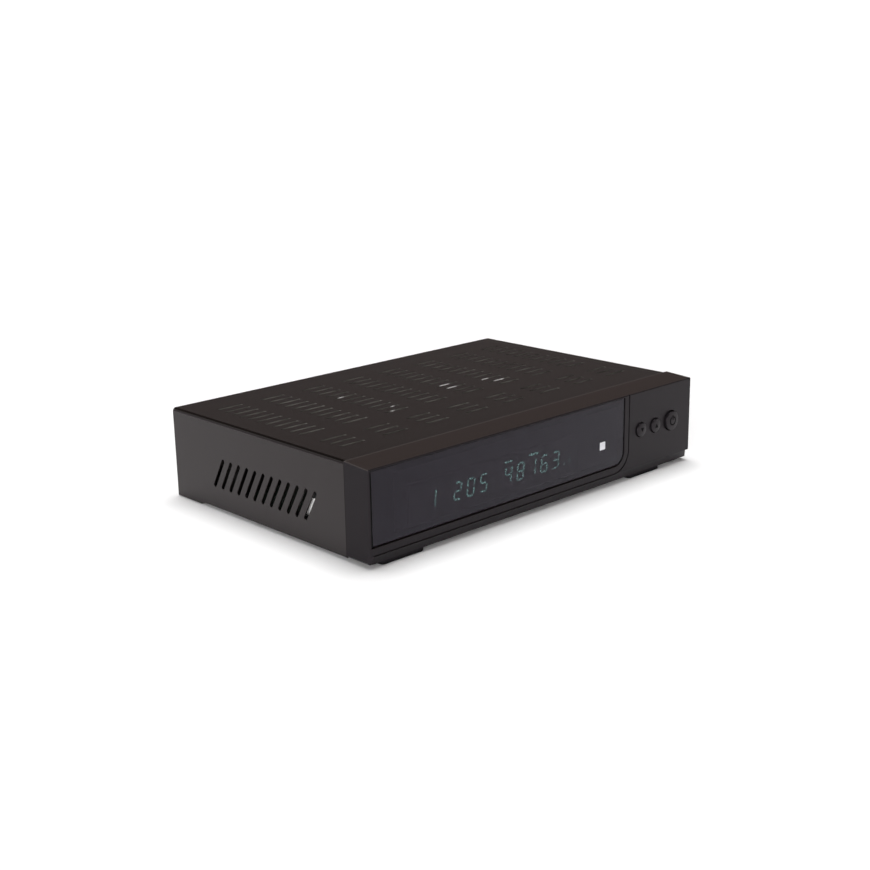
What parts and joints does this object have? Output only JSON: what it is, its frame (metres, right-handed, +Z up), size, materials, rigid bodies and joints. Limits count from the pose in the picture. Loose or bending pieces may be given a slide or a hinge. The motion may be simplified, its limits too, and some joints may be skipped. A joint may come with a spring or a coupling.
{
  "type": "cable tv receiver",
  "caption": "Flat set-top receiver: vented steel cover, black front panel with a smoked display window and round push-buttons, sockets and a rocker switch at the back.",
  "frame": {"origin": "middle of the whole outline in X and Y, on the surface it stands on", "axes": "+Z up, the front panel faces -Y, +X to the right as seen from the front"},
  "size_m": [0.26, 0.1841, 0.0532],
  "materials": {
    "cover_paint": "satin black powder coat",
    "panel_paint": "satin black paint",
    "bezel_plastic": "fine satin black moulding",
    "window_acrylic": "smoked transparent acrylic",
    "button_plastic": "satin black moulding",
    "foot_rubber": "matt black rubber",
    "zinc_plate": "zinc plated sheet",
    "screw_steel": "black zinc plated",
    "standoff_brass": "plain brass",
    "green_board": "green solder mask",
    "tan_board": "paper laminate",
    "chip_resin": "black moulding resin",
    "sink_aluminium": "extruded aluminium",
    "capacitor_sleeve": "dark blue sleeve",
    "header_nylon": "white nylon",
    "lead_sheath": "white insulation",
    "mains_sheath": "brown insulation",
    "tinned_sheet": "tinned sheet",
    "nickel_plate": "nickel plated",
    "insert_white": "white moulding",
    "insert_red": "red moulding",
    "insert_yellow": "yellow moulding",
    "insert_orange": "orange moulding",
    "socket_black": "black moulding",
    "contact_gold": "gold plated contact",
    "ferrite": "dark ferrite",
    "winding_tape": "yellow winding tape",
    "fuse_glass": "clear glass with plated caps",
    "display_glass": "clear glass",
    "display_plate": "dark glass plate with lit characters",
    "pin_steel": "tinned pins",
    "foam_black": "black foam",
    "receiver_resin": "dark infrared resin",
    "plunger_plastic": "beige moulding"
  },
  "bodies": {
    "case": {"top_cover": "cover_paint", "front_bezel": "bezel_plastic", "display_window": "window_acrylic", "key_switches": "chip_resin", "front_board": "green_board", "front_board_screws": "screw_steel", "display_tube": "display_glass", "display_anode_plate": "display_plate", "display_pins": "pin_steel", "display_foam_strip": "foam_black", "infrared_receiver": "receiver_resin", "rubber_feet": "foot_rubber", "chassis_tray": "zinc_plate", "rear_panel": "panel_paint", "case_screws": "screw_steel", "board_standoffs": "standoff_brass", "inlet_pins": "nickel_plate", "mains_wires": "mains_sheath", "board_screws": "screw_steel", "main_board": "green_board", "board_chips": "chip_resin", "processor_heatsink": "sink_aluminium", "board_capacitors": "capacitor_sleeve", "board_headers": "header_nylon", "front_cable": "lead_sheath", "power_cable": "lead_sheath", "tuner_can": "tinned_sheet", "tuner_lid": "tinned_sheet", "radio_ports": "nickel_plate", "port_inserts": "insert_white", "port_nuts": "nickel_plate", "av_socket_shell": "tinned_sheet", "av_socket_core": "socket_black", "phono_block": "socket_black", "phono_shells": "nickel_plate", "phono_insert_orange": "insert_orange", "phono_insert_white": "insert_white", "phono_insert_yellow": "insert_yellow", "phono_insert_red": "insert_red", "network_socket": "tinned_sheet", "network_contacts": "contact_gold", "digital_video_socket": "tinned_sheet", "serial_socket": "tinned_sheet", "socket_tongues": "socket_black", "power_board": "tan_board", "power_capacitors": "capacitor_sleeve", "transformer_core": "ferrite", "transformer_winding": "winding_tape", "power_heatsink": "sink_aluminium", "power_transistor": "chip_resin", "mains_fuse": "fuse_glass", "mains_inlet": "socket_black", "mains_switch": "socket_black"},
    "power_button": {"power_button": "button_plastic", "power_switch_plunger": "plunger_plastic"},
    "up_button": {"up_button": "button_plastic", "up_switch_plunger": "plunger_plastic"},
    "down_button": {"down_button": "button_plastic", "down_switch_plunger": "plunger_plastic"},
    "mains_rocker": {"mains_rocker": "socket_black"}
  },
  "joints": [
    {"name": "power_button_press", "type": "slide", "parent": "case", "child": "power_button", "axis": [0, 1, 0], "range_m": [0, 0.0005], "stiffness_N_per_m": 800},
    {"name": "up_button_press", "type": "slide", "parent": "case", "child": "up_button", "axis": [0, 1, 0], "range_m": [0, 0.0005], "stiffness_N_per_m": 800},
    {"name": "down_button_press", "type": "slide", "parent": "case", "child": "down_button", "axis": [0, 1, 0], "range_m": [0, 0.0005], "stiffness_N_per_m": 800},
    {"name": "mains_rocker_turn", "type": "hinge", "parent": "case", "child": "mains_rocker", "pos_m": [0.112, 0.07785, 0.022], "axis": [-1, 0, 0], "range_deg": [0, 20]}
  ]
}
